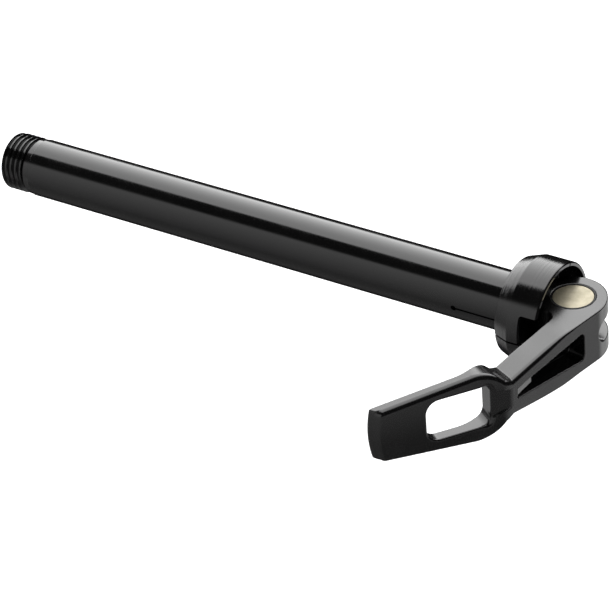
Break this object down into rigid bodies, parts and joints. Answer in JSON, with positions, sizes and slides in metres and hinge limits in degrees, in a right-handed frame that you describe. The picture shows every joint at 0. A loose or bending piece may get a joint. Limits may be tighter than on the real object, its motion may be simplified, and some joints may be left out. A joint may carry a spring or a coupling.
{
  "type": "bicycle thru axle",
  "caption": "Hollow quick-release wheel axle with a threaded end, a split expanding flange end and a folding cam lever.",
  "frame": {"origin": "centre of the flange's back face, on the axle's axis", "axes": "+X along the axle towards the lever, +Z along the lever's pin, the closed lever's arm points to -Y"},
  "size_m": [0.1733, 0.0757, 0.0268],
  "materials": {
    "tube_anodised": "glossy black anodised, turned",
    "lever_anodised": "glossy black anodised, forged and polished",
    "wedge_steel": "turned",
    "bolt_steel": "black oxide",
    "washer_steel": "zinc plated",
    "spring_steel": "bright wire",
    "thrust_steel": "hardened, black",
    "pin_brass": "faced and lightly polished",
    "liner_polymer": "black polymer"
  },
  "bodies": {
    "axle": {"axle_tube": "tube_anodised"},
    "wedge": {"expander_wedge": "wedge_steel", "release_spring": "spring_steel"},
    "head": {"thrust_washer": "thrust_steel"},
    "draw": {"barrel_pin": "pin_brass"},
    "bolt": {"draw_bolt": "bolt_steel", "bolt_washer": "washer_steel"},
    "lever": {"lever": "lever_anodised", "upper_pin_liner": "liner_polymer", "lower_pin_liner": "liner_polymer"}
  },
  "joints": [
    {"name": "head_spin", "type": "hinge", "parent": "axle", "child": "head", "pos_m": [0.0048, 0, 0], "axis": [1, 0, 0], "continuous": true},
    {"name": "draw_slide", "type": "slide", "parent": "head", "child": "draw", "axis": [1, 0, 0], "range_m": [-0.00101, 0]},
    {"name": "lever_swing", "type": "hinge", "parent": "draw", "child": "lever", "pos_m": [0.01483, 0, 0], "axis": [0, 0, 1], "range_deg": [0, 140]},
    {"name": "tension_turn", "type": "hinge", "parent": "draw", "child": "bolt", "pos_m": [0.01483, 0, 0], "axis": [1, 0, 0], "continuous": true},
    {"name": "wedge_slide", "type": "slide", "parent": "axle", "child": "wedge", "axis": [1, 0, 0], "range_m": [-0.00101, 0]}
  ],
  "couplings": [
    {"joint": "draw_slide", "follows": "lever_swing", "m_per_rad": -0.00040926},
    {"joint": "wedge_slide", "follows": "lever_swing", "m_per_rad": -0.00040926}
  ]
}
